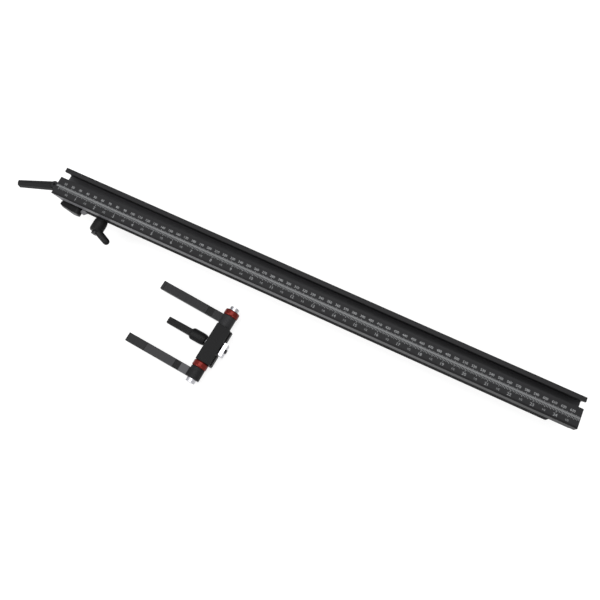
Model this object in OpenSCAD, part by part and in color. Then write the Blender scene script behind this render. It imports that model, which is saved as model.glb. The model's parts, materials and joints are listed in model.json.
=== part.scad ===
// Telescoping miter gauge fence with its double flip stop lying beside it.
// Millimetres. +X runs along the fence, +Y is the work face, +Z is up.
// The origin is on the underside of the fence at its middle, below the row of millimetre numbers.

/* [Fence] */
// Length of the extruded fence
fence_l = 640; // [500:1:800]
// Height of the fence from its foot to the scale
fence_h = 56; // [54:1:64]
// Work face, measured back from the row of numbers
rear_y = 19.4; // [18:0.1:21]
// Front face of the scale beam, measured forward from the row of numbers
front_y = 16.6; // [15:0.1:18]
// Thickness of the upright work face
face_t = 3; // [2.6:0.1:4]
// Overhang of the lip above the stop channel, from the work face's back
lip_over = 2.2; // [1.5:0.1:3]
// Height of that lip
lip_h = 3; // [2:0.1:4]
// Height of the scale beam's front face
beam_h = 9.5; // [9:0.5:12]
// Wall of the scale beam
beam_wall = 2.6; // [2:0.1:3]
// Wall between the beam and the stop channel
channel_wall = 4.8; // [4.4:0.1:5.4]
// Rear edge of the scale beam, where the stop channel opens
channel_y = 6.2; // [5:0.1:7]
// Depth of the stop channel
channel_d = 16.3; // [14:0.1:17]
// Undercut of the stop channel below the beam
undercut_front = 2.2; // [1.5:0.1:2.4]
// Undercut of the stop channel in the work face
undercut_rear = 0.8; // [0.4:0.1:1]
// Height of the undercut
undercut_h = 6; // [5:0.5:8]
// Height and depth of the foot along the underside
foot = [3, 3]; // [2:0.5:12]
// Thickness of the shelves and slot lips
web_t = 2.4; // [2:0.1:2.6]

// Length of the bevel that cuts the beam's lower front corner at the left end
bevel_l = 9.5; // [6:0.5:14]
// Depth of that bevel
bevel_d = 5; // [4:0.5:7]

/* [Head slot] */
// Front face of the slot that takes the gauge head's bolts
slot_y = 4; // [2:0.5:5]
// Opening of that slot
slot_gap = 8.4; // [6.4:0.1:9]

/* [Scale] */
// Width of the recessed scale tape
tape_w = 17.2; // [15:0.1:17.6]
// Front edge of the tape, forward of the row of numbers
tape_front = 14.2; // [13.5:0.1:14.4]
// Thickness of the tape
tape_t = 0.4; // [0.2:0.1:0.6]

/* [Rail] */
// Length of the telescoping rail
rail_l = 614.5; // [470:0.5:616]
// Setback of the rail behind the beam's front face
rail_in = 1; // [0.6:0.1:1.4]
// Distance of the rail's front bar from the fence's left end
bar_in = 8; // [6:0.5:10]
// Height of the rail's front bar
rail_h = 14.2; // [13:0.1:14.8]
// Thickness of the rail's front bar
rail_bar_t = 2.7; // [2.2:0.1:3]
// Height of the rail's neck
neck_h = 7.4; // [6.6:0.1:8]
// Height of the rail's head inside the fence
head_h = 11.4; // [10.6:0.1:11.6]
// Thickness of the rail's head
head_t = 5.5; // [4.5:0.1:6]
// Running clearance round the rail
rail_gap = 0.3; // [0.25:0.05:0.4]

/* [End bracket and finger] */
// Thickness of the bracket's plate at the rail's end
bracket_t = 3.3; // [3:0.1:3.4]
// Front edge of that plate, forward of the row of numbers
bracket_front = 9; // [8.8:0.1:9.8]
// Back edge of that plate, behind the row of numbers
bracket_back = 3; // [2:0.5:6]
// Height of the finger's underside, down from the rail's top edge
finger_drop = 9.9; // [9:0.1:10.3]
// Radius of the bracket's boss under the finger
boss_r = 5; // [4.5:0.1:5.2]
// Distance of the finger's pivot from the rail's end
pivot_in = 9; // [8:0.5:9.5]
// Length of the finger from its pivot to its tip
finger_l = 44.2; // [40:0.1:60]
// Width of the finger at its pivot
finger_root_w = 9.2; // [9:0.1:11]
// Width of the finger at its tip
finger_tip_w = 6.5; // [5:0.1:8]
// Height of the finger
finger_h = 8; // [6:0.5:9]
// Angle of the parked finger, forward of the fence's line
finger_park = 21.2; // [0:0.1:40]
// Radius of the finger's pivot screw
pivot_r = 2.5; // [2:0.1:3]

/* [Rail clamps] */
// Ratchet lever's distance from the fence's left end
lever_x = 63.8; // [60:0.1:80]
// Wedge lever's distance from the fence's left end
wedge_x = 30.8; // [28.5:0.1:32.5]
// Radius of the clamping screws
screw_r = 2.5; // [2:0.1:3]
// Running clearance of a pin in its hole
pin_gap = 0.06; // [0.04:0.01:0.1]
// Length of a clamp plate
plate_l = 14; // [12:0.5:16]
// Thickness of a clamp plate
plate_t = 4; // [3:0.1:4.4]
// Radius of the ratchet lever's hub
hub_r = 7.9; // [6.5:0.1:8.3]
// Length of the ratchet lever's hub
hub_l = 16.8; // [14:0.1:18]
// Reach of the ratchet lever's arm from its screw
arm_reach = 17.8; // [15:0.1:26]
// Length of the wedge lever from its screw to its tip
wedge_l = 21.6; // [18:0.1:26]
// Thickness of the wedge lever at its screw
wedge_t = 7.2; // [6.4:0.1:8]
// Thickness of the wedge lever at its tip
wedge_tip_t = 4.5; // [3.6:0.1:5.4]
// Radius of the wedge lever's round end
wedge_r = 5.8; // [5:0.1:6]

/* [Flip stop] */
// Place of the stop beside the fence: along it, in front of it
stop_at = [-75, -91]; // [-150:1:150]
// Turn of the stop, clockwise from above
stop_yaw = 4.2; // [0:0.1:8]
// Length of the block between the two arms
block_l = 47.4; // [42:0.1:54]
// Height of the block as it lies
block_h = 19; // [18.6:0.1:22]
// Block's side towards the lever, from the pivots
block_lever = 7; // [6.5:0.5:8]
// Block's side towards the fence's channel, from the pivots
block_base = 11; // [10:0.5:14]
// Reach of the upper flip arm from its pivot
upper_arm_l = 89.2; // [70:0.1:110]
// Reach of the lower flip arm from its pivot
lower_arm_l = 91.2; // [70:0.1:110]
// Angle at which the upper arm stands off its parked position
arm_lift = 2.5; // [0:0.5:6]
// Width of a flip arm
arm_w = 10.4; // [9:0.1:12]
// Thickness of a flip arm
arm_t = 6; // [5:0.1:7]
// Width of a flip arm's hub
arm_hub_w = 13.6; // [12.4:0.1:15]
// Radius of a flip arm's hub
arm_hub_r = 8.4; // [7.5:0.1:8.8]
// Radius of a red collar
collar_r = 9; // [8.6:0.1:9.2]
// Width of a red collar
collar_w = 7.6; // [6:0.1:9]
// Radius of the pivot bolts' shoulders
shoulder_r = 4; // [3.5:0.1:4.5]
// Radius of the pivot bolts' heads
bolt_head_r = 5.6; // [5:0.1:6.5]
// Length of the pivot bolts' heads
bolt_head_l = 4.6; // [3.5:0.1:5.5]
// Side clearance of a flip arm
arm_gap = 0.3; // [0.2:0.05:0.5]
// Length of the stop's T-nut
nut_l = 16; // [10:0.1:17]
// Thickness of the stop's T-nut
nut_t = 4.2; // [3:0.1:4.6]
// Height of the guide keys
key_h = 1.6; // [1:0.1:2]
// Side clearance of the T-nut and the keys in the channel
fit_gap = 0.2; // [0.1:0.05:0.4]
// Radius of the stop lever's hub
stop_hub_r = 7.1; // [6.4:0.1:7.6]
// Length of the stop lever's hub
stop_hub_l = 19.5; // [16:0.5:21]
// Reach of the stop lever's arm beyond its hub
stop_arm_out = 32; // [26:0.5:36]
// Rise of the stop lever's arm over that reach
stop_arm_up = 0.5; // [0:0.5:6]

/* [Hidden] */
$fn = 48;
eps = 0.01;

left_x = -fence_l / 2;
beam_z = fence_h - beam_h;
inner_y = rear_y - face_t;
floor_z = fence_h - channel_d;

// Rail housing below the beam
rail_z = beam_z - rail_gap - rail_h / 2;
rail_front_y = -front_y + rail_in;
lip_out_y = rail_front_y + rail_bar_t + rail_gap;
lip_in_y = lip_out_y + web_t;
head_y = lip_in_y + rail_gap;
head_back_y = head_y + head_t;
house_y = head_back_y + rail_gap;
house_h = head_h + 2 * rail_gap;
shelf_z = rail_z - house_h / 2 - web_t;
cell_top_z = min(beam_z, floor_z) - web_t;
rail_x = left_x - 0.5;

// Lower slot for the gauge head
slot_z = (foot[0] + shelf_z) / 2;

// Bracket and finger
pivot_x = rail_x - pivot_in;
pivot_y = -2.4;
bracket_arm_w = 9;
rail_bottom_z = rail_z - rail_h / 2;
bracket_top = rail_bottom_z + rail_h - finger_drop;
finger_z = bracket_top + 0.3;
finger_edge = 2.6;
finger_seat_z = finger_z + finger_h - finger_edge + 0.3;
finger_head_r = pivot_r + 1.9;
finger_head_t = 2.1;
bracket_screw_r = 1.25;
bracket_screw_z = 3.2;
bracket_head_r = 2 * bracket_screw_r;
bracket_head_t = 1.8;
bracket_screw_l = 8;

// Clamps
washer_t = 1.2;
washer_r = 5.6;
plate_y = head_y;
pocket_l = plate_l + 0.6;
lever_hub_y = -rail_front_y + washer_t + 0.3;
lever_end_y = lever_hub_y + hub_l;
button_r = 3.8;
button_l = 3;
socket_r = 1.7;
socket_d = 1.6;
arm_r = [4.4, 4.3, 4];
arm_bend = [7.5, 0.5];
arm_out = 5.1;
wedge_gap = 0.3;
wedge_y = -front_y - wedge_gap;
wedge_tip_h = 7;
wedge_belly = 4;
wedge_head_r = 4;
wedge_head_t = 2.2;
catch_l = 4.6;
catch_y = 4.5;
catch_h = 8;

// Flip stop
block_end = block_l / 2;
pin_z = block_h / 2;
thread_r = 2.5;
thread_l = 13.6;
upper_arm_y = block_end + arm_gap;
upper_collar_y = upper_arm_y + arm_hub_w + arm_gap;
lower_arm_y = block_end + collar_w + arm_gap;
bolt_head_y = upper_collar_y + collar_w;
stud_hole_r = 3.1;
stop_washer_t = 1.5;
spacer_l = 1.2;
stop_button_l = 1.6;
stop_button_r = 3.2;
stud_out = 1.6;
spacer_r = 4.2;
bolt_socket_r = 2.9;
bolt_socket_d = 2.4;
stop_hub_x = block_lever + stop_washer_t + spacer_l;
stop_hub_end = stop_hub_x + stop_hub_l;
nut_x = block_base + key_h;
key_y = nut_l / 2 + 1.5;
key_l = block_end - key_y - 1.2;
channel_w = inner_y - channel_y;
key_w = channel_w - lip_over - 2 * fit_gap;
nut_w = channel_w + undercut_front + undercut_rear - 2 * fit_gap;
corner_cut = [1.6, 2.6];
groove_d = 0.5;
groove_x = [19, 27];
pad_x = 66;
stop_arm_w = [8.4, 8.2];
stop_arm_h = [8, 5];

// Extrudes a Y-Z outline along X
module along_x(x0, l) {
    translate([x0, 0, 0]) rotate([90, 0, 90]) linear_extrude(l) children();
}

// Rectangle from one corner to the other
module rect(y0, z0, y1, z1) {
    translate([y0, z0]) square([y1 - y0, z1 - z0]);
}

// Cylinder along +Y from y0 to y1
module rod_y(x, y0, y1, z, r) {
    translate([x, y0, z]) rotate([-90, 0, 0]) cylinder(h = y1 - y0, r = r);
}

// Cylinder along +X from x0 to x1
module rod_x(x0, x1, y, z, r) {
    translate([x0, y, z]) rotate([0, 90, 0]) cylinder(h = x1 - x0, r = r);
}

// Puts a piece of the flip stop, drawn round its pivots, where it lies
module at_stop() {
    translate([stop_at[0], stop_at[1], 0]) rotate([0, 0, -stop_yaw]) children();
}

module fence_section() {
    difference() {
        union() {
            rect(inner_y, 0, rear_y, fence_h);
            rect(inner_y - lip_over, fence_h - lip_h, inner_y + eps, fence_h);
            rect(-front_y, beam_z, channel_y, fence_h);
            rect(channel_y - eps, floor_z - web_t, inner_y + eps, floor_z);
            rect(lip_out_y, shelf_z, inner_y + eps, beam_z + eps);
            rect(slot_y, 0, inner_y + eps, shelf_z + eps);
            rect(-foot[1], 0, inner_y + eps, foot[0]);
        }
        // Hollow of the scale beam
        rect(-front_y + beam_wall, beam_z + web_t, channel_y - channel_wall,
            fence_h - beam_wall - tape_t);
        // Stop channel and its undercut
        rect(channel_y, floor_z, inner_y, fence_h - lip_h);
        rect(channel_y, fence_h - lip_h - eps, inner_y - lip_over, fence_h + eps);
        rect(channel_y - undercut_front, floor_z, inner_y + undercut_rear, floor_z + undercut_h);
        // Recess of the scale tape
        rect(-tape_front, fence_h - tape_t, tape_w - tape_front, fence_h + eps);
        // Rail housing and its mouth
        rect(lip_in_y, rail_z - house_h / 2, house_y, rail_z + house_h / 2);
        rect(lip_out_y - eps, rail_z - neck_h / 2 - rail_gap, lip_in_y + eps,
            rail_z + neck_h / 2 + rail_gap);
        // Closed cell behind the rail housing
        rect(house_y + web_t, shelf_z + web_t, inner_y, cell_top_z);
        // Lower slot and its mouth
        rect(slot_y + web_t, foot[0], inner_y, shelf_z);
        rect(slot_y - eps, slot_z - slot_gap / 2, slot_y + web_t + eps, slot_z + slot_gap / 2);
    }
}

module fence_body() {
    color("#2b2c2e") difference() {
        along_x(left_x, fence_l) fence_section();
        // Bevel at the left end
        translate([left_x, bevel_d - front_y, 0]) rotate([90, 0, 0])
            linear_extrude(bevel_d + eps)
                polygon([[-eps, beam_z - eps], [bevel_l, beam_z - eps], [-eps, fence_h - 1]]);
    }
}

module scale_tape() {
    color("#3c3d3f") translate([left_x, -tape_front, fence_h - tape_t]) cube([fence_l, tape_w, tape_t]);
}

// The rail's neck and head
module rail_section() {
    rect(rail_front_y + rail_bar_t - eps, rail_z - neck_h / 2, head_y + eps, rail_z + neck_h / 2);
    rect(head_y, rail_z - head_h / 2, head_back_y, rail_z + head_h / 2);
}

// Places of the nylon glides along the rail
function glide_xs() = [rail_x + rail_l * 0.3, rail_x + rail_l * 0.6, rail_x + rail_l - 20];
glide_r = 3;
glide_t = 1.2;

module extension_rail() {
    color("#232325") difference() {
        union() {
            along_x(rail_x, rail_l) rail_section();
            along_x(left_x + bar_in, rail_x + rail_l - left_x - bar_in)
                rect(rail_front_y, rail_bottom_z, rail_front_y + rail_bar_t, rail_bottom_z + rail_h);
        }
        for (x = [left_x + lever_x, left_x + wedge_x]) {
            translate([x - pocket_l / 2, head_y, rail_z - head_h / 2 - eps])
                cube([pocket_l, head_t + eps, head_h + 2 * eps]);
            rod_y(x, rail_front_y - eps, head_y + eps, rail_z, screw_r + pin_gap);
        }
        for (x = glide_xs()) rod_y(x, head_back_y - glide_t, head_back_y + eps, rail_z, glide_r);
        for (s = [-1, 1])
            rod_x(rail_x - eps, rail_x + bracket_screw_l + 1, head_y + head_t / 2,
                rail_z + s * bracket_screw_z, bracket_screw_r);
    }
}

module rail_glides() {
    color("#d8d6cf") for (x = glide_xs())
        rod_y(x, head_back_y - glide_t, head_back_y, rail_z, glide_r);
}

module end_bracket() {
    color("#1d1d1f") difference() {
        union() {
            translate([rail_x - bracket_t, -bracket_front, rail_bottom_z])
                cube([bracket_t, bracket_front + bracket_back, rail_h]);
            translate([pivot_x, pivot_y - boss_r, rail_bottom_z])
                cube([pivot_in - bracket_t + eps, bracket_arm_w, rail_h - finger_drop]);
            translate([pivot_x, pivot_y, rail_bottom_z]) cylinder(h = rail_h - finger_drop, r = boss_r);
        }
        translate([pivot_x, pivot_y, rail_bottom_z - eps]) cylinder(h = rail_h, r = pivot_r);
        for (s = [-1, 1]) {
            rod_x(rail_x - bracket_t - eps, rail_x + eps, head_y + head_t / 2,
                rail_z + s * bracket_screw_z, bracket_screw_r);
            rod_x(rail_x - bracket_t - eps, rail_x - bracket_t + bracket_head_t, head_y + head_t / 2,
                rail_z + s * bracket_screw_z, bracket_head_r);
        }
    }
}

module bracket_screws() {
    color("#4a4b4d") for (s = [-1, 1]) {
        rod_x(rail_x - bracket_t + bracket_head_t - eps, rail_x + bracket_screw_l, head_y + head_t / 2,
            rail_z + s * bracket_screw_z, bracket_screw_r);
        rod_x(rail_x - bracket_t, rail_x - bracket_t + bracket_head_t, head_y + head_t / 2,
            rail_z + s * bracket_screw_z, bracket_head_r);
    }
}

// Finger drawn along -X from its pivot at the origin
module finger_shape() {
    difference() {
        union() {
            cylinder(h = finger_h - 2, r = finger_root_w / 2);
            intersection() {
                linear_extrude(finger_h) polygon([
                    [0, finger_root_w / 2], [-finger_l, finger_tip_w / 2],
                    [-finger_l, -finger_tip_w / 2], [0, -finger_root_w / 2]
                ]);
                translate([-finger_l, 0, 0]) rotate([90, 0, 90]) linear_extrude(finger_l) polygon([
                    [-6, 0], [6, 0], [6, finger_h - finger_edge], [0.4, finger_h],
                    [-0.4, finger_h], [-6, finger_h - finger_edge]
                ]);
            }
        }
        translate([0, 0, -eps]) cylinder(h = finger_h + 1, r = pivot_r + pin_gap);
        translate([0, 0, finger_h - finger_edge]) cylinder(h = 3, r = finger_head_r + 0.3);
    }
}

module stop_finger() {
    color("#262628") translate([pivot_x, pivot_y, finger_z]) rotate([0, 0, finger_park]) finger_shape();
}

module finger_screw() {
    color("#5a5b5d") translate([pivot_x, pivot_y, 0]) difference() {
        union() {
            translate([0, 0, rail_bottom_z + 1])
                cylinder(h = finger_seat_z - rail_bottom_z - 1 + eps, r = pivot_r);
            translate([0, 0, finger_seat_z]) cylinder(h = finger_head_t, r = finger_head_r);
        }
        translate([0, 0, finger_seat_z + finger_head_t - socket_d])
            cylinder(h = socket_d + eps, r = socket_r, $fn = 6);
    }
}

// Clamp plate behind the housing's lips, round the screw at x
module clamp_plate(x) {
    difference() {
        translate([x - plate_l / 2, plate_y, rail_z - head_h / 2]) cube([plate_l, plate_t, head_h]);
        rod_y(x, plate_y - eps, plate_y + plate_t + eps, rail_z, screw_r + pin_gap);
    }
}

module clamp_plate_a() {
    color("#b9bbbd") clamp_plate(left_x + lever_x);
}

module clamp_plate_b() {
    color("#b9bbbd") clamp_plate(left_x + wedge_x);
}

module lever_washer() {
    color("#9a9c9e") difference() {
        rod_y(left_x + lever_x, rail_front_y - washer_t, rail_front_y, rail_z, washer_r);
        rod_y(left_x + lever_x, rail_front_y - washer_t - eps, rail_front_y + eps, rail_z,
            screw_r + pin_gap);
    }
}

module lever_stud() {
    color("#8d8f91") translate([left_x + lever_x, 0, rail_z]) difference() {
        union() {
            rod_y(0, -lever_end_y - eps, plate_y + plate_t, 0, screw_r);
            rod_y(0, -lever_end_y - button_l, -lever_end_y, 0, button_r);
        }
        translate([0, socket_d - lever_end_y - button_l, 0]) rotate([90, 0, 0])
            cylinder(h = socket_d + eps, r = socket_r, $fn = 6);
    }
}

// Lever hub of radius r and length l, standing on the origin along +Z
module lever_hub(r, l) {
    rotate_extrude() polygon([
        [0, 0], [r - 0.9, 0], [r - 0.3, 2.6], [r, 5], [r, l - 2], [r - 1.2, l], [0, l]
    ]);
}

module lever_handle() {
    color("#1b1b1d") translate([left_x + lever_x, -lever_hub_y, rail_z]) difference() {
        union() {
            rotate([90, 0, 0]) lever_hub(hub_r, hub_l);
            hull() {
                translate([2.4, 2.2 - hub_l, 0]) sphere(r = arm_r[0], $fn = 32);
                translate([arm_bend[0], -arm_bend[1] - hub_l, 0]) sphere(r = arm_r[1], $fn = 32);
            }
            hull() {
                translate([arm_bend[0], -arm_bend[1] - hub_l, 0]) sphere(r = arm_r[1], $fn = 32);
                translate([arm_reach, -arm_out - hub_l, 0]) sphere(r = arm_r[2], $fn = 32);
            }
        }
        rod_y(0, -hub_l - button_l, eps, 0, screw_r);
        rod_y(0, -hub_l - 2 * button_l, -hub_l, 0, button_r + 0.2);
    }
}

module wedge_stud() {
    color("#8d8f91") {
        rod_y(left_x + wedge_x, wedge_y - wedge_t + eps, plate_y + plate_t, rail_z, screw_r);
        rod_y(left_x + wedge_x, wedge_y - wedge_t, wedge_y - wedge_t + wedge_head_t, rail_z, wedge_head_r);
    }
}

// Wedge lever seen from above, tip at the left
module wedge_plan() {
    polygon([
        [-wedge_l, 0], [-wedge_l, -wedge_tip_t + 0.8], [-wedge_l + 1, -wedge_tip_t],
        [-wedge_belly, -wedge_t], [wedge_r - 1.2, 0.4 - wedge_t], [wedge_r, 1.6 - wedge_t], [wedge_r, 0]
    ]);
}

module wedge_handle() {
    color("#1b1b1d") translate([left_x + wedge_x, wedge_y, rail_z]) difference() {
        union() {
            intersection() {
                translate([0, 0, -wedge_r]) linear_extrude(2 * wedge_r) wedge_plan();
                rotate([90, 0, 0]) linear_extrude(wedge_t) polygon([
                    for (a = [-96:12:96]) wedge_r * [cos(a), sin(a)],
                    [-wedge_l, wedge_tip_h / 2], [-wedge_l, -wedge_tip_h / 2]
                ]);
            }
            rod_y(0, -1, rail_front_y - wedge_gap - wedge_y, 0, wedge_head_r);
        }
        rod_y(0, -wedge_t - eps, rail_in + eps, 0, screw_r);
        rod_y(0, -wedge_t - eps, -wedge_t + wedge_head_t, 0, wedge_head_r);
    }
}

module wedge_catch() {
    color("#a3a5a7") translate([left_x + wedge_x + wedge_r + 0.4, rail_front_y, rail_z - catch_h / 2])
        linear_extrude(catch_h)
            polygon([[0, 0], [0, -catch_y], [1.2, -catch_y], [catch_l, -1.2], [catch_l, 0]]);
}

module stop_block() {
    color("#3a3b3e") at_stop() difference() {
        linear_extrude(block_h) polygon([
            [-block_lever, -block_end], [-block_lever, block_end],
            [block_base - corner_cut[0], block_end], [block_base, block_end - corner_cut[1]],
            [block_base, -block_end]
        ]);
        rod_x(-block_lever - eps, block_base + eps, 0, pin_z, stud_hole_r);
        for (s = [-1, 1])
            rod_y(0, s > 0 ? block_end - thread_l : -block_end - eps,
                s > 0 ? block_end + eps : -block_end + thread_l, pin_z, thread_r);
    }
}

module guide_keys() {
    color("#29292b") at_stop() for (s = [-1, 1])
        translate([block_base, s > 0 ? key_y : -key_y - key_l, pin_z - key_w / 2])
            cube([key_h, key_l, key_w]);
}

// Flip arm along -X on the given side, its hub from y0 outwards, turned up by lift
module flip_arm(side, y0, reach, lift) {
    at_stop() mirror([0, side > 0 ? 0 : 1, 0]) translate([0, 0, pin_z]) rotate([0, lift, 0]) difference() {
        union() {
            rod_y(0, y0, y0 + arm_hub_w, 0, arm_hub_r);
            translate([-reach, y0 + arm_hub_w - arm_w, -arm_t / 2]) cube([reach, arm_w, arm_t]);
        }
        rod_y(0, y0 - eps, y0 + arm_hub_w + eps, 0, shoulder_r + pin_gap);
        // Shallow groove near the hub
        translate([-groove_x[1], y0 - eps, arm_t / 2 - groove_d])
            cube([groove_x[1] - groove_x[0], arm_hub_w + 2 * eps, groove_d + eps]);
        // Lowered pad at the tip
        translate([-reach - eps, y0 - eps, arm_t / 2 - groove_d])
            cube([reach - pad_x, arm_hub_w + 2 * eps, groove_d + eps]);
    }
}

module upper_arm() {
    color("#4b4c4f") flip_arm(1, upper_arm_y, upper_arm_l, arm_lift);
}

module lower_arm() {
    color("#4b4c4f") flip_arm(-1, lower_arm_y, lower_arm_l, 0);
}

// Red collar from y0 along +Y round a bolt's shoulder
module collar(y0) {
    at_stop() translate([0, y0, pin_z]) rotate([-90, 0, 0]) rotate_extrude() polygon([
        [shoulder_r, 0], [collar_r - 1.4, 0], [collar_r - 0.4, 0.4], [collar_r, 1.4],
        [collar_r, collar_w - 1.4], [collar_r - 0.4, collar_w - 0.4], [collar_r - 1.4, collar_w],
        [shoulder_r, collar_w]
    ]);
}

module upper_collar() {
    color("#b3232b") collar(upper_collar_y);
}

module lower_collar() {
    color("#b3232b") collar(-block_end - collar_w);
}

// Shoulder bolt: thread in the block, shoulder through arm and collar, socket head outside
module pivot_bolt(side) {
    at_stop() mirror([0, side > 0 ? 0 : 1, 0]) difference() {
        union() {
            rod_y(0, block_end - thread_l + 0.4, block_end + eps, pin_z, thread_r);
            rod_y(0, block_end, bolt_head_y + eps, pin_z, shoulder_r);
            rod_y(0, bolt_head_y, bolt_head_y + bolt_head_l, pin_z, bolt_head_r);
        }
        translate([0, bolt_head_y + bolt_head_l - bolt_socket_d, pin_z]) rotate([-90, 0, 0])
            cylinder(h = bolt_socket_d + eps, r = bolt_socket_r, $fn = 6);
    }
}

module upper_pivot_bolt() {
    color("#c9cbcd") pivot_bolt(1);
}

module lower_pivot_bolt() {
    color("#c9cbcd") pivot_bolt(-1);
}

module stop_t_nut() {
    color("#d2d4d6") at_stop() difference() {
        translate([nut_x, -nut_l / 2, pin_z - nut_w / 2]) cube([nut_t, nut_l, nut_w]);
        rod_x(nut_x - eps, nut_x + nut_t + eps, 0, pin_z, screw_r + pin_gap);
    }
}

module stop_stud() {
    color("#8d8f91") at_stop() difference() {
        union() {
            rod_x(-stop_hub_end - eps, nut_x + nut_t + stud_out, 0, pin_z, screw_r);
            rod_x(-stop_hub_end - stop_button_l, -stop_hub_end, 0, pin_z, stop_button_r);
        }
        translate([-stop_hub_end - stop_button_l - eps, 0, pin_z]) rotate([0, 90, 0])
            cylinder(h = socket_d + eps, r = socket_r, $fn = 6);
    }
}

module stop_washer() {
    color("#c0c2c4") at_stop() difference() {
        rod_x(-block_lever - stop_washer_t, -block_lever, 0, pin_z, washer_r - 0.4);
        rod_x(-block_lever - stop_washer_t - eps, -block_lever + eps, 0, pin_z, screw_r + pin_gap);
    }
}

module stop_spacer() {
    color("#77797b") at_stop() difference() {
        rod_x(-stop_hub_x + 0.3, -block_lever - stop_washer_t, 0, pin_z, spacer_r);
        rod_x(-stop_hub_x, -block_lever - stop_washer_t + eps, 0, pin_z, screw_r + pin_gap);
    }
}

module stop_lever_handle() {
    color("#1b1b1d") at_stop() translate([-stop_hub_x, 0, pin_z]) difference() {
        union() {
            rotate([0, -90, 0]) lever_hub(stop_hub_r, stop_hub_l);
            hull() {
                translate([-stop_hub_l - 1, -stop_arm_w[0] / 2, -stop_arm_h[0] / 2])
                    cube([6, stop_arm_w[0], stop_arm_h[0]]);
                translate([-stop_hub_l - stop_arm_out, -stop_arm_w[1] / 2, stop_arm_up - stop_arm_h[1] / 2])
                    cube([1, stop_arm_w[1], stop_arm_h[1]]);
            }
        }
        rod_x(-stop_hub_l - 2 * stop_button_l, eps, 0, 0, screw_r);
        rod_x(-stop_hub_l - 2 * stop_button_l, -stop_hub_l, 0, 0, stop_button_r + 0.2);
    }
}

fence_body();
scale_tape();
extension_rail();
rail_glides();
end_bracket();
bracket_screws();
stop_finger();
finger_screw();
clamp_plate_a();
clamp_plate_b();
lever_washer();
lever_stud();
lever_handle();
wedge_stud();
wedge_handle();
wedge_catch();
stop_block();
guide_keys();
upper_arm();
lower_arm();
upper_collar();
lower_collar();
upper_pivot_bolt();
lower_pivot_bolt();
stop_t_nut();
stop_stud();
stop_washer();
stop_spacer();
stop_lever_handle();
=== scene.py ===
"""Telescoping miter gauge fence with its double flip stop, lying on a pale studio floor."""
import bmesh
import bpy
import json
import math
from mathutils import Euler, Matrix, Vector


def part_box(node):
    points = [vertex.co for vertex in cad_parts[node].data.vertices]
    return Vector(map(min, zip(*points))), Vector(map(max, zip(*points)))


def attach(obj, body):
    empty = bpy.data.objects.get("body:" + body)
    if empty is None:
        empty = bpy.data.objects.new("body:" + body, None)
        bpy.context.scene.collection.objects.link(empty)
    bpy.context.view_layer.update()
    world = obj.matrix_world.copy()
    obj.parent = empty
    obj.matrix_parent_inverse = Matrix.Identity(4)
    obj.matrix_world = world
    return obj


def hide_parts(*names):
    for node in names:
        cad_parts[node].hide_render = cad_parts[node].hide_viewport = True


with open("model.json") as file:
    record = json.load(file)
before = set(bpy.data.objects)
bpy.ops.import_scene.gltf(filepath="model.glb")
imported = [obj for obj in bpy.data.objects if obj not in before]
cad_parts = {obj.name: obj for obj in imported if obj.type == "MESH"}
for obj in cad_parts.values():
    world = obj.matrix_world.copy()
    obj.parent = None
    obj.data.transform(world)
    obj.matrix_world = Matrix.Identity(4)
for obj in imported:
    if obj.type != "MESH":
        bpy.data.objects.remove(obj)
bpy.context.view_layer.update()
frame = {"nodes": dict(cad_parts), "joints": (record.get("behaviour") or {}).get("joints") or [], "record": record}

MM = 0.001
nodes = frame["nodes"]

# Camera: the photograph's viewpoint, in metres
CAMERA_PLACE = Vector((0.0864, -0.1969, 0.7108))
CAMERA_TILT = math.radians(17.33)
CAMERA_YAW = math.radians(25.18)
FOCAL_PX = 620
IMAGE_PX = 600
SENSOR_MM = 36
NEAR_CLIP = 0.01

# Printed scale, in millimetres from the fence's middle and from the row of millimetre figures
CM = 10
CM_COUNT = 63
FIRST_CM = -310.1
INCH = 25.4
SIXTEENTH = INCH / 16
HALF_INCH_COUNT = 49
FIRST_HALF_INCH = -302.45
CM_FIGURE_H = 2.7
INCH_FIGURE_H = 3.3
HALF_FIGURE_H = 2.1
INCH_ROW_Y = -12.17
RULE_Y = -5.2
RULE_W = 1.2
TICK_W = 0.5
PRINT_T = 0.03
TAPE_MARGIN = 0.5
# Every how many ticks, and how far such a tick reaches from the ruled line
MM_TICKS = ((10, 2.5), (5, 2.1), (1, 1.6))
INCH_TICKS = ((16, 4.4), (8, 4.0), (4, 3.6), (2, 3.2), (1, 2.8))
# Figures: height as a share of the font's size, and added weight as a share of the height
FIGURE_SHARE = 0.7
FIGURE_WEIGHT = 0.018
FIGURE_CURVE_STEPS = 3

# Flip arms, bands of painted light and shade: where each band starts and ends, in millimetres from the pivot, and
# its tone
UPPER_ARM_PAINTED_SHADING = ((19, 27, 0.007), (85.4, 86.2, 0.005), (89.5, 92, 0.006))
LOWER_ARM_PAINTED_SHADING = ((8.6, 19, 0.075), (19, 27, 0.007), (27, 66, 0.034), (66, 92, 0.017), (65.6, 66.4, 0.006))

# Moulded handles
MOULD_VOXEL = 0.45 * MM
MOULD_SMOOTHING = 6
MOULD_WELD = 0.002 * MM

# Studio: floor and lamps in metres, lamps with name, place, size and watts
FLOOR_REACH = 6
FLOOR_DROP = 0.0002
FLOOR_TONE = 0.8
SEEN_FLOOR_TONE = 0.3
SEEN_FLOOR_GLOW = 0.78
WORLD_LIGHT = 0.45
SEEN_WORLD = 1.0
LAMP_TARGET = Vector((0, -0.03, 0))
LAMPS = (
    ("overhead", (0, 0.1, 1.5), (1.2, 0.5), 10),
    ("key", (-0.9, -0.6, 1.1), (0.9, 0.9), 12),
    ("fill", (0.9, -0.7, 1.0), (0.8, 0.8), 5),
)


def place_object(name, data):
    """Puts a new object in the scene."""
    made = bpy.data.objects.new(name, data)
    bpy.context.scene.collection.objects.link(made)
    return made


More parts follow.
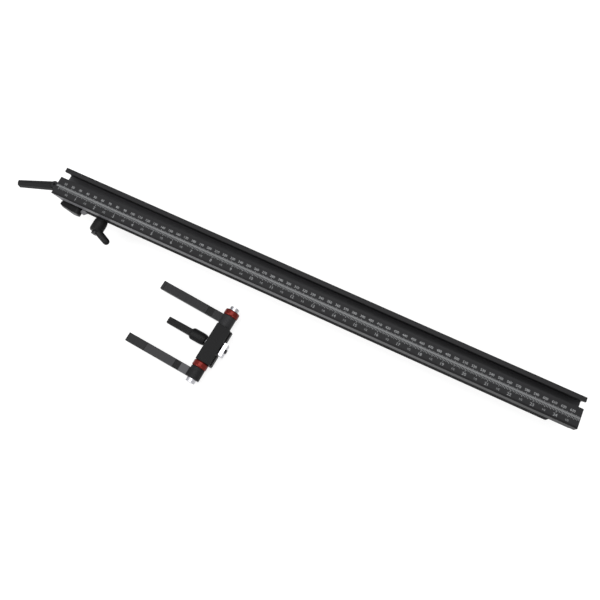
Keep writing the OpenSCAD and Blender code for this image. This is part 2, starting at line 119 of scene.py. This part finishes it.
def add_piece(name, mesh, material, body):
    """Adds a finished mesh as one piece that rides on a body."""
    piece = place_object(name, mesh)
    mesh.materials.clear()
    mesh.materials.append(material)
    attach(piece, body)
    return piece


class Finish:
    """One procedural material: a Principled shader and short ways to add nodes to it."""

    EDGE_SAMPLES = 6

    def __init__(self, name, colour, roughness, metallic=0.0, specular=0.5):
        self.material = bpy.data.materials.new(name)
        self.material.use_nodes = True
        self.tree = self.material.node_tree
        self.shader = self.tree.nodes["Principled BSDF"]
        self.shader.inputs["Base Color"].default_value = colour
        self.shader.inputs["Roughness"].default_value = roughness
        self.shader.inputs["Metallic"].default_value = metallic
        self.shader.inputs["Specular IOR Level"].default_value = specular
        self.place = self.tree.nodes.new("ShaderNodeTexCoord").outputs["Object"]

    def put(self, value, socket):
        """Links a value that comes from a node, or sets a plain one."""
        if isinstance(value, bpy.types.NodeSocket):
            self.tree.links.new(value, socket)
        else:
            socket.default_value = value

    def node(self, kind, **inputs):
        """Adds a node; an underscore in an input's name stands for a space."""
        made = self.tree.nodes.new(kind)
        for key, value in inputs.items():
            self.put(value, made.inputs[key.replace("_", " ")])
        return made

    def noise(self, scale, detail, stretch=(1, 1, 1), rough=0.5):
        """Noise over the object coordinates, which can be scaled differently along each axis."""
        stretched = self.node("ShaderNodeMapping", Vector=self.place, Scale=stretch).outputs["Vector"]
        made = self.node("ShaderNodeTexNoise", Vector=stretched, Scale=scale, Detail=detail, Roughness=rough)
        return made.outputs["Fac"]

    def spread(self, value, low, high):
        """Maps 0..1 to low..high."""
        return self.node("ShaderNodeMapRange", Value=value, To_Min=low, To_Max=high).outputs["Result"]

    def ramp(self, value, low, high):
        """Maps low..high to 0..1."""
        return self.node("ShaderNodeMapRange", Value=value, From_Min=low, From_Max=high).outputs["Result"]

    def axis(self, letter, place=None):
        """One coordinate of a place, in metres; without one, of the object coordinates."""
        return self.node("ShaderNodeSeparateXYZ", Vector=place or self.place).outputs[letter]

    def math(self, operation, *values):
        made = self.tree.nodes.new("ShaderNodeMath")
        made.operation = operation
        for value, socket in zip(values, made.inputs):
            self.put(value, socket)
        return made.outputs[0]

    def between(self, value, low, high):
        """1 where the value lies between two limits, else 0."""
        return self.math("COMPARE", value, (low + high) / 2, (high - low) / 2)

    def inside(self, low, high):
        """1 where the object coordinates lie between two corners of a box, else 0."""
        factor = 1.0
        for letter, near, far in zip("XYZ", low, high):
            factor = self.math("MULTIPLY", self.between(self.axis(letter), near, far), factor)
        return factor

    def mix(self, factor, first, second):
        made = self.tree.nodes.new("ShaderNodeMix")
        made.data_type = "RGBA"
        self.put(factor, made.inputs["Factor"])
        self.put(first, made.inputs["A"])
        self.put(second, made.inputs["B"])
        return made.outputs["Result"]

    def mottled(self, pattern, contrast, dark, light):
        """A colour that drifts between two tones with a pattern."""
        return self.mix(self.spread(pattern, *contrast), dark, light)

    def colour(self, value):
        self.put(value, self.shader.inputs["Base Color"])

    def roughness(self, value):
        self.put(value, self.shader.inputs["Roughness"])

    def skin(self, edge, relief, depth, strength):
        """Rounds the edges' shading by a radius and adds relief of a depth, both in metres."""
        rounded = self.node("ShaderNodeBevel", Radius=edge)
        rounded.samples = self.EDGE_SAMPLES
        raised = self.node("ShaderNodeBump", Normal=rounded.outputs["Normal"], Height=relief,
                           Distance=depth, Strength=strength)
        self.put(raised.outputs["Normal"], self.shader.inputs["Normal"])


def shade(colour, factor):
    """The colour made darker or lighter."""
    return (*(channel * factor for channel in colour[:3]), 1)


def grey(tone):
    """A grey with a trace of blue."""
    return shade((1, 1, 1.06), tone)


def black_anodised(name, tone, roughness, specular=0.09, painted_zones=()):
    """Anodised extrusion: fine die lines along the fence and a faint cloudy tone.

    Each painted zone gives two corners of a box and the tone of the painted light and shade inside it at its left
    and right end.
    """
    made = Finish(name, grey(tone), roughness, specular=specular)
    die_lines = made.noise(scale=420, detail=5.0, stretch=(0.004, 1, 1), rough=0.62)
    cloud = made.noise(scale=9, detail=3.0)
    colour = made.mottled(cloud, (0.25, 0.75), dark=grey(tone * 0.8), light=grey(tone * 1.25))
    for low, high, left_tone, right_tone in painted_zones:
        along = made.ramp(made.axis("X"), low[0], high[0])
        painted_colour = made.mix(along, grey(left_tone), grey(right_tone))
        colour = made.mix(made.inside(low, high), colour, painted_colour)
    made.colour(colour)
    made.roughness(made.spread(die_lines, roughness - 0.08, roughness + 0.1))
    made.skin(edge=0.35 * MM, relief=die_lines, depth=0.05 * MM, strength=0.6)
    return made.material


def powder_coat(name, tone, roughness):
    """Fine powder coat with its pebbled skin."""
    made = Finish(name, grey(tone), roughness, specular=0.1)
    pebble = made.noise(scale=1500, detail=2.0)
    cloud = made.noise(scale=40, detail=2.0)
    made.colour(made.mottled(cloud, (0.2, 0.8), dark=grey(tone * 0.85), light=grey(tone * 1.15)))
    made.skin(edge=0.5 * MM, relief=pebble, depth=0.04 * MM, strength=0.5)
    return made.material


def moulded_nylon(name, tone, roughness):
    """Glass-filled nylon: grained skin with a soft sheen."""
    made = Finish(name, grey(tone), roughness, specular=0.1)
    grain = made.noise(scale=2200, detail=3.0)
    worn = made.noise(scale=60, detail=3.0)
    made.colour(made.mottled(worn, (0.3, 0.7), dark=grey(tone * 0.8), light=grey(tone * 1.35)))
    made.roughness(made.spread(worn, roughness - 0.05, roughness + 0.08))
    made.skin(edge=0.4 * MM, relief=grain, depth=0.03 * MM, strength=0.7)
    return made.material


def brushed_metal(name, tone, roughness):
    """Plated or blackened steel, or plain aluminium, with a brushed, slightly uneven surface."""
    made = Finish(name, grey(tone), roughness, metallic=1.0)
    brushed = made.noise(scale=900, detail=4.0, stretch=(1, 0.12, 1))
    made.colour(made.mottled(brushed, (0.3, 0.7), dark=grey(tone * 0.88), light=grey(tone * 1.08)))
    made.roughness(made.spread(brushed, roughness - 0.06, roughness + 0.08))
    made.skin(edge=0.25 * MM, relief=brushed, depth=0.01 * MM, strength=0.5)
    return made.material


def red_anodised(name):
    """Dark red anodised turning with fine lathe rings."""
    made = Finish(name, (0.115, 0.010, 0.008, 1), roughness=0.3, metallic=0.45, specular=0.15)
    rings = made.noise(scale=1400, detail=2.0, stretch=(0.05, 1, 0.05))
    cloud = made.noise(scale=120, detail=2.0)
    made.colour(made.mottled(cloud, (0.2, 0.8), dark=(0.085, 0.007, 0.005, 1), light=(0.15, 0.013, 0.009, 1)))
    made.roughness(made.spread(rings, 0.22, 0.36))
    made.skin(edge=0.3 * MM, relief=rings, depth=0.015 * MM, strength=0.5)
    return made.material


def plain_plastic(name, colour, roughness):
    """Smooth white nylon or printed ink, with a faint mottle."""
    made = Finish(name, colour, roughness)
    mottle = made.noise(scale=300, detail=2.0)
    made.colour(made.mottled(mottle, (0.2, 0.8), dark=shade(colour, 0.9), light=colour))
    return made.material


def banded_arm(name, tone, bands):
    """Dark anodised flip arm, with bands of painted light and shade set by the distance from its pivot along the
    arm.
    """
    made = Finish(name, grey(tone), roughness=0.45, specular=0.1)
    joint = next(j for j in frame["joints"] if j["name"] == "upper_arm_flip")
    yaw = math.atan2(joint["axis"][0], joint["axis"][1])
    start = Matrix.Rotation(yaw, 3, "Z") @ Vector(joint["pos_m"])
    turned = made.node("ShaderNodeMapping", Vector=made.place, Rotation=(0, 0, yaw), Location=-start)
    along = made.axis("X", turned.outputs["Vector"])
    grain = made.noise(scale=500, detail=4.0, stretch=(0.06, 1, 1))
    colour = made.mottled(grain, (0.2, 0.8), dark=grey(tone * 0.82), light=grey(tone * 1.2))
    # Each band paints the light or shade of one stretch of the arm
    for near, far, band_tone in bands:
        colour = made.mix(made.between(along, -far * MM, -near * MM), colour, grey(band_tone))
    made.colour(colour)
    made.roughness(made.spread(grain, 0.38, 0.52))
    made.skin(edge=0.4 * MM, relief=grain, depth=0.02 * MM, strength=0.5)
    return made.material


def fence_zone(y_limits, z_limits, left_tone, right_tone):
    """A zone over the fence's whole length where light and shade are painted, with its limits in millimetres."""
    corners = zip((fence_low.x, fence_high.x), y_limits, z_limits)
    low, high = ((x, y * MM, z * MM) for x, y, z in corners)
    return low, high, left_tone, right_tone


fence_low, fence_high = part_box("fence_body")
FRONT, REAR, TOP = fence_low.y / MM, fence_high.y / MM, fence_high.z / MM
PAST = 1
LAND_Z = 55.4
# Boxes of painted light and shade on the fence body
FENCE_PAINTED_LIGHT = (
    # Painted light on the floor of the stop channel, brighter at its left end
    fence_zone((6, 17), (30, 45), 0.046, 0.028),
    # Painted highlight on the front face of the scale beam, fading to the right, and painted shade on the land
    # above it
    fence_zone((FRONT - PAST, FRONT + 0.3), (40, LAND_Z), 0.15, 0.018),
    fence_zone((FRONT - PAST, FRONT + 2), (LAND_Z, TOP + PAST), 0.011, 0.006),
    # Painted shade along the top edge of the work face
    fence_zone((REAR - 0.9, REAR + PAST), (50, TOP + PAST), 0.003, 0.005),
)
FINISHES = {
    "black_anodised": black_anodised("black anodised", tone=0.017, roughness=0.42),
    "scale_black": black_anodised("black scale tape", tone=0.017, roughness=0.5),
    "nylon": plain_plastic("white nylon", colour=(0.66, 0.65, 0.6, 1), roughness=0.5),
    "black_cast": powder_coat("black powder coat", tone=0.006, roughness=0.5),
    "black_steel": brushed_metal("blackened steel", tone=0.025, roughness=0.4),
    "bright_steel": brushed_metal("bright plated steel", tone=0.42, roughness=0.26),
    "bright_aluminium": brushed_metal("plain aluminium", tone=0.14, roughness=0.45),
    "black_plastic": moulded_nylon("black nylon", tone=0.006, roughness=0.42),
    "dark_grey_aluminium": banded_arm("upper arm", tone=0.021, bands=UPPER_ARM_PAINTED_SHADING),
    "red_anodised": red_anodised("red anodised"),
}
OWN_FINISHES = {
    # The fence's finish carries the boxes of painted light and shade
    "fence_body": black_anodised("black fence", tone=0.017, roughness=0.42, painted_zones=FENCE_PAINTED_LIGHT),
    # The rail's darker tone is painted shade under the beam's overhang; its low sheen and roughness are its finish
    "extension_rail": black_anodised("black rail", tone=0.005, roughness=0.6, specular=0.02),
    # The lower arm gets a darker copy of the arm finish as painted shade, with its own bands of painted light and
    # shade
    "lower_arm": banded_arm("lower arm", tone=0.010, bands=LOWER_ARM_PAINTED_SHADING),
    "lever_washer": brushed_metal("dark washer", tone=0.06, roughness=0.4),
    "stop_washer": brushed_metal("grey washer", tone=0.22, roughness=0.4),
}
WHITE_INK = plain_plastic("white ink", colour=(0.24, 0.245, 0.25, 1), roughness=0.6)
GREY_INK = plain_plastic("grey ink", colour=(0.2, 0.205, 0.21, 1), roughness=0.6)


def dress_nodes():
    """Gives each carried-over node its own finish, or that of its slot."""
    for part in frame["record"]["subparts"]:
        mesh = nodes[part["node"]].data
        mesh.materials.clear()
        mesh.materials.append(OWN_FINISHES.get(part["node"]) or FINISHES[part["material_slot"]])


def printed_bar(mesh, x, y_low, y_high, width, z):
    """Draws one thin printed bar, in millimetres."""
    made = bmesh.ops.create_cube(mesh, size=1)
    size = Vector((width, y_high - y_low, PRINT_T))
    centre = Vector((x, (y_low + y_high) / 2, z + PRINT_T / 2))
    bmesh.ops.scale(mesh, vec=size, verts=made["verts"])
    bmesh.ops.translate(mesh, vec=centre, verts=made["verts"])


def figure(text, height, x, y, z):
    """A printed figure as a mesh, in millimetres, centred at x and y."""
    curve = bpy.data.curves.new("figure", "FONT")
    curve.body = str(text)
    curve.size = height / FIGURE_SHARE
    curve.align_x = "CENTER"
    curve.resolution_u = FIGURE_CURVE_STEPS
    curve.offset = height * FIGURE_WEIGHT
    curve.extrude = PRINT_T / 2
    carrier = bpy.data.objects.new("figure", curve)
    made = bpy.data.meshes.new_from_object(carrier)
    bpy.data.objects.remove(carrier)
    bpy.data.curves.remove(curve)
    made.transform(Matrix.Translation((x, y - height / 2, z + PRINT_T / 2)))
    return made


def joined(meshes):
    """Gathers meshes in one bmesh and removes them."""
    together = bmesh.new()
    for one in meshes:
        together.from_mesh(one)
        bpy.data.meshes.remove(one)
    return together


def add_print(name, drawn, ink):
    """Adds a bmesh drawn in millimetres as one printed piece of the scale."""
    bmesh.ops.scale(drawn, vec=(MM, MM, MM), verts=drawn.verts)
    mesh = bpy.data.meshes.new(name)
    drawn.to_mesh(mesh)
    drawn.free()
    add_piece(name, mesh, ink, body="fence")


def tick_reach(number, ranks):
    """Reach of a tick: that of the first rank whose step divides its number."""
    return next(reach for step, reach in ranks if number % step == 0)


def print_scale():
    """Prints a ruled line, ticks and plain figures on the tape: millimetres above, inches below."""
    low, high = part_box("scale_tape")
    left, right, top = low.x / MM, high.x / MM, high.z / MM

    ticks = bmesh.new()
    cm_zero = FIRST_CM - CM
    for n in range(math.ceil(left + TAPE_MARGIN - cm_zero), int(right - cm_zero)):
        printed_bar(ticks, cm_zero + n, RULE_Y, RULE_Y + tick_reach(n, MM_TICKS), TICK_W, top)
    inch_zero = FIRST_HALF_INCH - INCH / 2
    for n in range(int((right - TAPE_MARGIN - inch_zero) // SIXTEENTH) + 1):
        x = inch_zero + n * SIXTEENTH
        printed_bar(ticks, x, RULE_Y - tick_reach(n, INCH_TICKS), RULE_Y, TICK_W, top)
    add_print("scale_ticks", ticks, GREY_INK)

    rule = bmesh.new()
    rule_l = right - left - 2 * TAPE_MARGIN
    printed_bar(rule, (left + right) / 2, RULE_Y - RULE_W / 2, RULE_Y + RULE_W / 2, rule_l, top)
    add_print("scale_rule", rule, WHITE_INK)

    upper = [figure(CM * (n + 1), CM_FIGURE_H, FIRST_CM + CM * n, 0, top) for n in range(CM_COUNT)]
    add_print("millimetre_figures", joined(upper), WHITE_INK)
    lower = []
    for n in range(HALF_INCH_COUNT):
        text, height = ((n + 1) // 2, INCH_FIGURE_H) if n % 2 else ("1/2", HALF_FIGURE_H)
        lower.append(figure(text, height, FIRST_HALF_INCH + n * INCH / 2, INCH_ROW_Y, top))
    add_print("inch_figures", joined(lower), GREY_INK)


def moulded_copy(node, body):
    """A moulded handle: the solid's shape with its joints blended as a mould leaves them."""
    source = bmesh.new()
    source.from_mesh(nodes[node].data)
    bmesh.ops.remove_doubles(source, verts=source.verts, dist=MOULD_WELD)
    bmesh.ops.recalc_face_normals(source, faces=source.faces)
    mesh = bpy.data.meshes.new(node + "_moulded")
    source.to_mesh(mesh)
    source.free()
    piece = add_piece(node + "_moulded", mesh, FINISHES["black_plastic"], body)
    remesh = piece.modifiers.new("even skin", "REMESH")
    remesh.mode = "VOXEL"
    remesh.voxel_size = MOULD_VOXEL
    remesh.use_smooth_shade = True
    soften = piece.modifiers.new("mould radius", "SMOOTH")
    soften.iterations = MOULD_SMOOTHING
    soften.factor = 0.5
    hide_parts(node)


def background_factor(tree):
    """1 where the camera, a gloss or a clear material sees the backdrop, and 0 where it only lights."""
    path = tree.nodes.new("ShaderNodeLightPath")
    total = path.outputs["Is Camera Ray"]
    for name in ("Is Glossy Ray", "Is Transmission Ray"):
        both = tree.nodes.new("ShaderNodeMath")
        both.operation = "MAXIMUM"
        tree.links.new(total, both.inputs[0])
        tree.links.new(path.outputs[name], both.inputs[1])
        total = both.outputs[0]
    return total


def diffuse(tree, tone):
    """A matt grey shader."""
    made = tree.nodes.new("ShaderNodeBsdfDiffuse")
    made.inputs["Color"].default_value = (tone, tone, tone, 1)
    return made.outputs[0]


def add_floor():
    """A pale floor: plain to the light, and to the camera a soft shadow on a glowing white."""
    flat = bmesh.new()
    bmesh.ops.create_grid(flat, x_segments=1, y_segments=1, size=FLOOR_REACH)
    mesh = bpy.data.meshes.new("floor")
    flat.to_mesh(mesh)
    flat.free()
    floor = place_object("floor", mesh)
    floor.location.z = -FLOOR_DROP
    material = bpy.data.materials.new("pale floor")
    material.use_nodes = True
    tree = material.node_tree
    tree.nodes.clear()
    out = tree.nodes.new("ShaderNodeOutputMaterial")
    glow = tree.nodes.new("ShaderNodeEmission")
    glow.inputs["Strength"].default_value = SEEN_FLOOR_GLOW
    seen = tree.nodes.new("ShaderNodeAddShader")
    tree.links.new(diffuse(tree, SEEN_FLOOR_TONE), seen.inputs[0])
    tree.links.new(glow.outputs[0], seen.inputs[1])
    mix = tree.nodes.new("ShaderNodeMixShader")
    tree.links.new(background_factor(tree), mix.inputs[0])
    tree.links.new(diffuse(tree, FLOOR_TONE), mix.inputs[1])
    tree.links.new(seen.outputs[0], mix.inputs[2])
    tree.links.new(mix.outputs[0], out.inputs[0])
    mesh.materials.append(material)


def add_surroundings():
    """White surroundings, dimmer as a light than as they are seen."""
    world = bpy.data.worlds.new("studio")
    bpy.context.scene.world = world
    world.use_nodes = True
    tree = world.node_tree
    ground = tree.nodes["Background"]
    ground.inputs["Color"].default_value = (1, 1, 1, 1)
    strength = tree.nodes.new("ShaderNodeMapRange")
    tree.links.new(background_factor(tree), strength.inputs["Value"])
    strength.inputs["To Min"].default_value = WORLD_LIGHT
    strength.inputs["To Max"].default_value = SEEN_WORLD
    tree.links.new(strength.outputs["Result"], ground.inputs["Strength"])


def add_lamp(name, place, size, watts):
    """A soft rectangular lamp that points at the fence."""
    light = bpy.data.lights.new(name, "AREA")
    light.shape = "RECTANGLE"
    light.size, light.size_y = size
    light.energy = watts
    holder = place_object(name, light)
    holder.location = place
    holder.rotation_euler = (LAMP_TARGET - Vector(place)).to_track_quat("-Z", "Y").to_euler()


def add_camera():
    data = bpy.data.cameras.new("camera")
    data.sensor_width = SENSOR_MM
    data.lens = SENSOR_MM * FOCAL_PX / IMAGE_PX
    data.clip_start = NEAR_CLIP
    holder = place_object("camera", data)
    holder.location = CAMERA_PLACE
    holder.rotation_euler = Euler((CAMERA_TILT, 0, CAMERA_YAW))
    bpy.context.scene.camera = holder


add_camera()
add_floor()
add_surroundings()
for lamp in LAMPS:
    add_lamp(*lamp)
dress_nodes()
print_scale()
moulded_copy("lever_handle", "ratchet_lever")
moulded_copy("stop_lever_handle", "stop_lever")
bpy.context.scene.view_settings.view_transform = "Standard"
